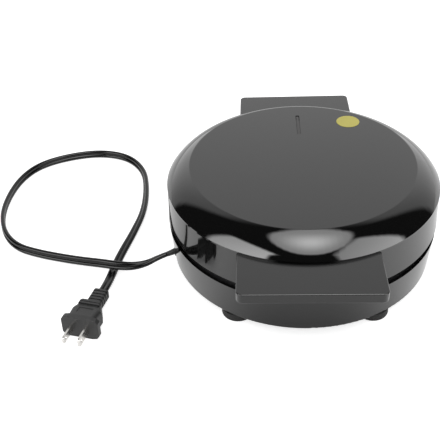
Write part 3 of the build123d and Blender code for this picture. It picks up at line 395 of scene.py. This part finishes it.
# Heating elements. Steel tube bent to a ring between the middle cup and the others, with its
# ends turned off the plate for the leads. Heat has tinted the tube straw and blue.
heat_tints = (
    (0.3, (0.16, 0.14, 0.12, 1.0)),
    (0.5, (0.30, 0.25, 0.18, 1.0)),
    (0.7, (0.18, 0.19, 0.24, 1.0)),
)
sheath = material("element_sheath", Metallic=1.0, IOR=1.5)
here = sheath.place()
heat = sheath.noise(here, 40.0)
pitted = sheath.noise(here, 900.0, detail=4.0)
sheath.set(
    Base_Color=sheath.ramp(heat, *heat_tints),
    Roughness=pitted.between(0.42, 0.62),
    Normal=sheath.bump(pitted, depth=0.0001, strength=0.5),
)
paint(sheath.done(), "lower_element", "upper_element")

# Baking plates. Cast aluminium under a dark non-stick coating that has a fine fleck in it.
# Four screws hold each plate, the lower one to the base and the upper one to the lid.
coat_dark, coat_worn = (0.016, 0.016, 0.017, 1.0), (0.026, 0.026, 0.027, 1.0)
coat_fleck = grey(0.09)
coat = material("non_stick", IOR=1.5, Coat_Roughness=0.2)
here = coat.place()
fleck = coat.ramp(coat.noise(here, 2200.0, detail=2.0), (0.62, grey(0.0)), (0.70, grey(1.0)))
cast = coat.noise(here, 350.0, detail=5.0)
wear = coat.noise(here, 35.0, detail=4.0)
coat.set(
    Base_Color=coat.mix(fleck, coat.mix(wear, coat_dark, coat_worn), coat_fleck),
    Roughness=wear.between(0.34, 0.46),
    Normal=coat.bump(cast, depth=0.0002, strength=0.45),
)
paint(coat.done(), "lower_plate", "upper_plate")

# Leads, the fuse's sleeve and the cable across the hinge. Copper strands in off-white woven
# glass sleeving, a little soiled, whose threads cross each other on the slant.
sleeve_soiled, sleeve_clean = (0.36, 0.34, 0.30, 1.0), (0.74, 0.72, 0.66, 1.0)
thread_turn = 5600.0
sleeve = material("woven_sleeve", IOR=1.5)
here = sleeve.place()
x, y, z = sleeve.axes(here)
one_way = ((x + y + z) * thread_turn).wave()
other_way = ((x - y + z) * thread_turn).wave()
weave = (one_way * other_way) * 0.5 + 0.5
soil = sleeve.noise(here, 80.0, detail=4.0)
sleeve.set(
    Base_Color=sleeve.mix(weave * 0.6 + soil * 0.4, sleeve_soiled, sleeve_clean),
    Roughness=soil.between(0.72, 0.87),
    Normal=sleeve.bump(weave, depth=0.00015, strength=0.6),
)
paint(
    sleeve.done(),
    "base_wires", "lid_wires", "thermal_fuse", "hinge_cable_base", "hinge_cable_lid",
)

# Screws, hinge pins, lamp holder and fuse clip. Small parts of plain steel, turned, headed or
# pressed. The pins are pressed into the lid's arms and turn in the base's ears.
steel_dark, steel_pale = (0.42, 0.41, 0.40, 1.0), (0.62, 0.61, 0.60, 1.0)
steel = material("screw_steel", Metallic=1.0, IOR=1.5)
turned = steel.noise(steel.place(scale=(700.0, 700.0, 90.0)), 1.0)
stain = steel.noise(steel.place(), 150.0, detail=4.0)
steel.set(
    Base_Color=steel.mix(stain, steel_dark, steel_pale),
    Roughness=turned.between(0.26, 0.46),
    Normal=steel.bump(turned, depth=0.00003, strength=0.5),
)
paint(
    steel.done(),
    "plate_screws", "lower_reflector_screws", "ear_screws", "dome_screws", "handle_screws",
    "cover_screws", "arm_screws", "hinge_pin_left", "hinge_pin_right", "lid_plate_screws",
    "upper_reflector_screws", "lamp_holder", "fuse_clip",
)


# Hinge ears and arms. Black plastic from a textured mould, with an even satin grain. The ears
# are screwed to the base's wall and the arms to the lid's band.
def satin(name, tones, roughness, ior):
    """Textured plastic: a fine even grain with slightly uneven sheen."""
    plastic = material(name, IOR=ior)
    here = plastic.place()
    grain = plastic.noise(here, 1600.0)
    cloud = plastic.noise(here, 30.0, detail=4.0)
    plastic.set(
        Base_Color=plastic.mix(cloud, *tones),
        Roughness=cloud.between(*roughness),
        Normal=plastic.bump(grain, depth=0.00006, strength=0.5),
    )
    return plastic.done()


paint(
    satin("hinge_satin", (grey(0.012), grey(0.020)), (0.34, 0.44), ior=1.6),
    "hinge_ear_left", "hinge_ear_right", "hinge_arm_left", "hinge_arm_right",
)

# Lid. A band and a domed top of black plastic from polished moulds. The dome is screwed on the
# band's ledge from inside; it has the deeper gloss, and the band flares towards the base.
paint(gloss("dome_gloss", (grey(0.0018), grey(0.0026)), (0.025, 0.055), waves=0.04), "lid_dome")
paint(gloss("band_gloss", (grey(0.003), grey(0.005)), (0.03, 0.05), waves=0.04, lean=0.055), "lid_frame")

# Front handle and hinge cover. Two flat slabs of one plan in black plastic, smoother than the
# hinge's. Two screws hold each of them to the band, driven from inside the lid.
paint(
    satin("slab_satin", (grey(0.005), grey(0.008)), (0.09, 0.14), ior=1.7),
    "front_handle", "hinge_cover",
)

# Light window. Smoked clear plastic let into the plateau, with a flange that bears on the
# dome's underside.
smoke_dark, smoke_pale = (0.012, 0.011, 0.011, 1.0), (0.022, 0.018, 0.017, 1.0)
smoked = material("window_smoked", IOR=1.6)
cloud = smoked.noise(smoked.place(), 120.0)
smoked.set(
    Base_Color=smoked.mix(cloud, smoke_dark, smoke_pale),
    Roughness=cloud.between(0.10, 0.18),
    Normal=smoked.bump(cloud, depth=0.0001, strength=0.2),
)
paint(smoked.done(), "indicator_lens")

# Lamp. A small neon lamp of warm clear glass under the window, which lies in its holder with
# a lead at each end.
glass_warm, glass_clear = (0.80, 0.62, 0.50, 1.0), (0.92, 0.84, 0.76, 1.0)
glass = material("lamp_glass", IOR=1.5, Transmission_Weight=0.6)
cloud = glass.noise(glass.place(), 200.0)
glass.set(
    Base_Color=glass.mix(cloud, glass_warm, glass_clear),
    Roughness=cloud.between(0.05, 0.13),
    Normal=glass.bump(cloud, depth=0.0001, strength=0.2),
)
paint(glass.done(), "indicator_lamp")

# Sticker. A round of yellow film with nothing printed on it, stuck on the plateau near the
# hinge. Its colour has faded a little in places.
film_deep, film_faded = (0.47, 0.42, 0.07, 1.0), (0.56, 0.50, 0.10, 1.0)
film = material("sticker_film", IOR=1.5)
here = film.place()
fibre = film.noise(here, 900.0, detail=4.0)
fade = film.noise(here, 90.0)
film.set(
    Base_Color=film.mix(fade, film_deep, film_faded),
    Roughness=fade.between(0.30, 0.45),
    Normal=film.bump(fibre, depth=0.00005, strength=0.4),
)
paint(film.done(), "blank_sticker")

# Power cord. Flat two-core flex in glossy black vinyl: two round cores side by side with a
# groove between them. From the relief it goes over its own other end and round one loop on
# the table, where it stands on edge; it turns flat only before that crossing and the plug.
cord_width = 0.0078
cord_thickness = 0.0041
# Each place of the route has how far the flex is turned there: 0 degrees is flat, 90 on edge.
cord_route_and_turn = [
    ((-0.11488, -0.02758, 0.01466), -38),
    ((-0.12217, -0.03068, 0.01355), -30),
    ((-0.1310, -0.0356, 0.0116), -5),
    ((-0.1420, -0.0374, 0.0100), 25),
    ((-0.1545, -0.0360, 0.0092), 45),
    ((-0.1710, -0.0318, 0.0088), 55),
    ((-0.1892, -0.0246, 0.0053), 60),
    ((-0.2076, -0.0187, 0.0038), 62),
    ((-0.2316, -0.0119, 0.0038), 64),
    ((-0.2535, -0.0027, 0.0038), 72),
    ((-0.2705, 0.0168, 0.0039), 84),
    ((-0.2810, 0.0458, 0.0039), 90),
    ((-0.2828, 0.0787, 0.0039), 92),
    ((-0.2780, 0.1101, 0.0039), 95),
    ((-0.2645, 0.1341, 0.0039), 100),
    ((-0.2376, 0.1496, 0.0039), 106),
    ((-0.2036, 0.1568, 0.0039), 110),
    ((-0.1725, 0.1471, 0.0039), 106),
    ((-0.1527, 0.1206, 0.0039), 104),
    ((-0.1463, 0.0867, 0.0038), 118),
    ((-0.1448, 0.0508, 0.0034), 138),
    ((-0.1508, 0.0174, 0.0028), 160),
    ((-0.1575, -0.0098, 0.0022), 176),
    ((-0.1610, -0.0310, 0.0022), 180),
    ((-0.1617, -0.0435, 0.0040), 180),
    ((-0.1630, -0.0588, 0.0069), 180),
    ((-0.1650, -0.0675, 0.0074), 180),
]
cord_route = [place for place, turn in cord_route_and_turn]


def spline_points(name, route, steps=24):
    """Points along a NURBS curve of third order whose control points are the route."""
    curve = bpy.data.curves.new(name, "CURVE")
    curve.dimensions = "3D"
    spline = curve.splines.new("NURBS")
    spline.points.add(len(route) - 1)
    for point, place in zip(spline.points, route):
        point.co = (*place, 1.0)
    spline.order_u = 3
    spline.use_endpoint_u = True
    spline.resolution_u = steps
    thing = bpy.data.objects.new(name, curve)
    bpy.context.scene.collection.objects.link(thing)
    bpy.context.view_layer.update()
    line = bpy.data.meshes.new_from_object(thing)
    points = np.zeros(len(line.vertices) * 3)
    line.vertices.foreach_get("co", points)
    bpy.data.objects.remove(thing)
    bpy.data.curves.remove(curve)
    bpy.data.meshes.remove(line)
    return points.reshape(-1, 3)


def carried(name, line, profile, turn):
    """Mesh of a closed profile carried along a line, with a face at each end.

    At each point of the line, across is horizontal and square to the line, and over is square
    to both; turn is the angle in radians by which both are turned about the line there. A
    profile point (a, b) goes to line + a * across + b * over. The first UV runs along the
    line in metres and the second round the profile from 0 to 1.
    """
    along = np.gradient(line, axis=0)
    along /= np.linalg.norm(along, axis=1)[:, None]
    level = np.cross(along, (0.0, 0.0, 1.0))
    level /= np.linalg.norm(level, axis=1)[:, None]
    upright = np.cross(level, along)
    across = np.cos(turn)[:, None] * level + np.sin(turn)[:, None] * upright
    over = np.cos(turn)[:, None] * upright - np.sin(turn)[:, None] * level
    places = line[:, None] + profile[None, :, :1] * across[:, None] + profile[None, :, 1:] * over[:, None]
    rings, sides = len(line), len(profile)
    ring, side = np.meshgrid(np.arange(rings - 1), np.arange(sides), indexing="ij")
    here, beside = ring * sides + side, ring * sides + (side + 1) % sides
    quads = np.stack([here, here + sides, beside + sides, beside], -1)
    first_end = list(range(sides))
    last_end = list(range((rings - 1) * sides, rings * sides))[::-1]
    faces = quads.reshape(-1, 4).tolist() + [first_end, last_end]
    mesh = bpy.data.meshes.new(name)
    mesh.from_pydata(places.reshape(-1, 3).tolist(), [], faces)
    gone = np.concatenate([[0.0], np.cumsum(np.linalg.norm(np.diff(line, axis=0), axis=1))])
    corner = np.array([loop.vertex_index for loop in mesh.loops])
    uv = np.stack([gone[corner // sides], (corner % sides) / sides], -1)
    layer = mesh.uv_layers.new(name="along")
    layer.data.foreach_set("uv", uv.astype(np.float32).ravel())
    mesh.polygons.foreach_set("use_smooth", np.ones(len(faces), bool))
    mesh.update()
    thing = bpy.data.objects.new(name, mesh)
    bpy.context.scene.collection.objects.link(thing)
    return thing


def twin_profile(width, thickness, points=72, web=0.55):
    """Outline of a flat flex: two round cores of its thickness, joined by a thinner web.

    At an angle t, a is half the width times cos(t), and b is the height of the core there, or
    that of the web where it is more: web is its share of the core's radius.
    """
    radius = thickness / 2
    offset = width / 2 - radius
    t = np.linspace(0, 2 * pi, points, endpoint=False)
    a = width / 2 * np.cos(t)
    core = np.sqrt(np.clip(radius**2 - (np.abs(a) - offset) ** 2, 0, None))
    b = np.sign(np.sin(t)) * np.maximum(core, np.where(np.abs(a) < offset, radius * web, 0.0))
    return np.stack([a, b], -1)


cord_line = spline_points("cord_line", cord_route)
cord_turn = np.interp(
    np.linspace(0, 1, len(cord_line)),
    np.linspace(0, 1, len(cord_route)),
    np.radians([turn for place, turn in cord_route_and_turn]),
)
power_cord = carried("cord", cord_line, twin_profile(cord_width, cord_thickness), cord_turn)
vinyl = material("cord_vinyl", IOR=1.42)
here = vinyl.place()
grime = vinyl.noise(here, 60.0, detail=4.0)
fine = vinyl.noise(here, 1400.0, detail=2.0)
vinyl.set(
    Base_Color=vinyl.mix(grime, grey(0.002), grey(0.005)),
    Roughness=grime.between(0.09, 0.19),
    Normal=vinyl.bump(fine, depth=0.00002, strength=0.4),
)
power_cord.data.materials.append(vinyl.done())
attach(power_cord, "base")
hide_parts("power_cord")

# Plug body and strain relief. Black vinyl moulded over the flex, with the fine matt grain of
# the mould. The relief's flange sits inside the base's wall and its nose leans out of it.
moulded = material("plug_vinyl", IOR=1.5)
here = moulded.place()
grain = moulded.noise(here, 900.0)
cloud = moulded.noise(here, 45.0)
moulded.set(
    Base_Color=moulded.mix(cloud, grey(0.016), grey(0.032)),
    Roughness=cloud.between(0.42, 0.57),
    Normal=moulded.bump(grain, depth=0.00012, strength=0.6),
)
paint(moulded.done(), "plug_body", "strain_relief")

# Plug blades. Strip of nickel-plated brass, one wide and one narrow, each with a hole near
# its rounded tip. Fine drawn lines run along them, and the body is moulded round their roots.
nickel_dull, nickel_bright = (0.62, 0.60, 0.57, 1.0), (0.80, 0.79, 0.77, 1.0)
plated = material("blade_nickel", Metallic=1.0, IOR=1.5)
drawn = plated.noise(plated.place(scale=(900.0, 60.0, 900.0)), 1.0)
spots = plated.noise(plated.place(), 160.0, detail=4.0)
plated.set(
    Base_Color=plated.mix(spots, nickel_dull, nickel_bright),
    Roughness=drawn.between(0.16, 0.30),
    Normal=plated.bump(drawn, depth=0.00002, strength=0.5),
)
paint(plated.done(), "plug_blade_narrow", "plug_blade_wide")
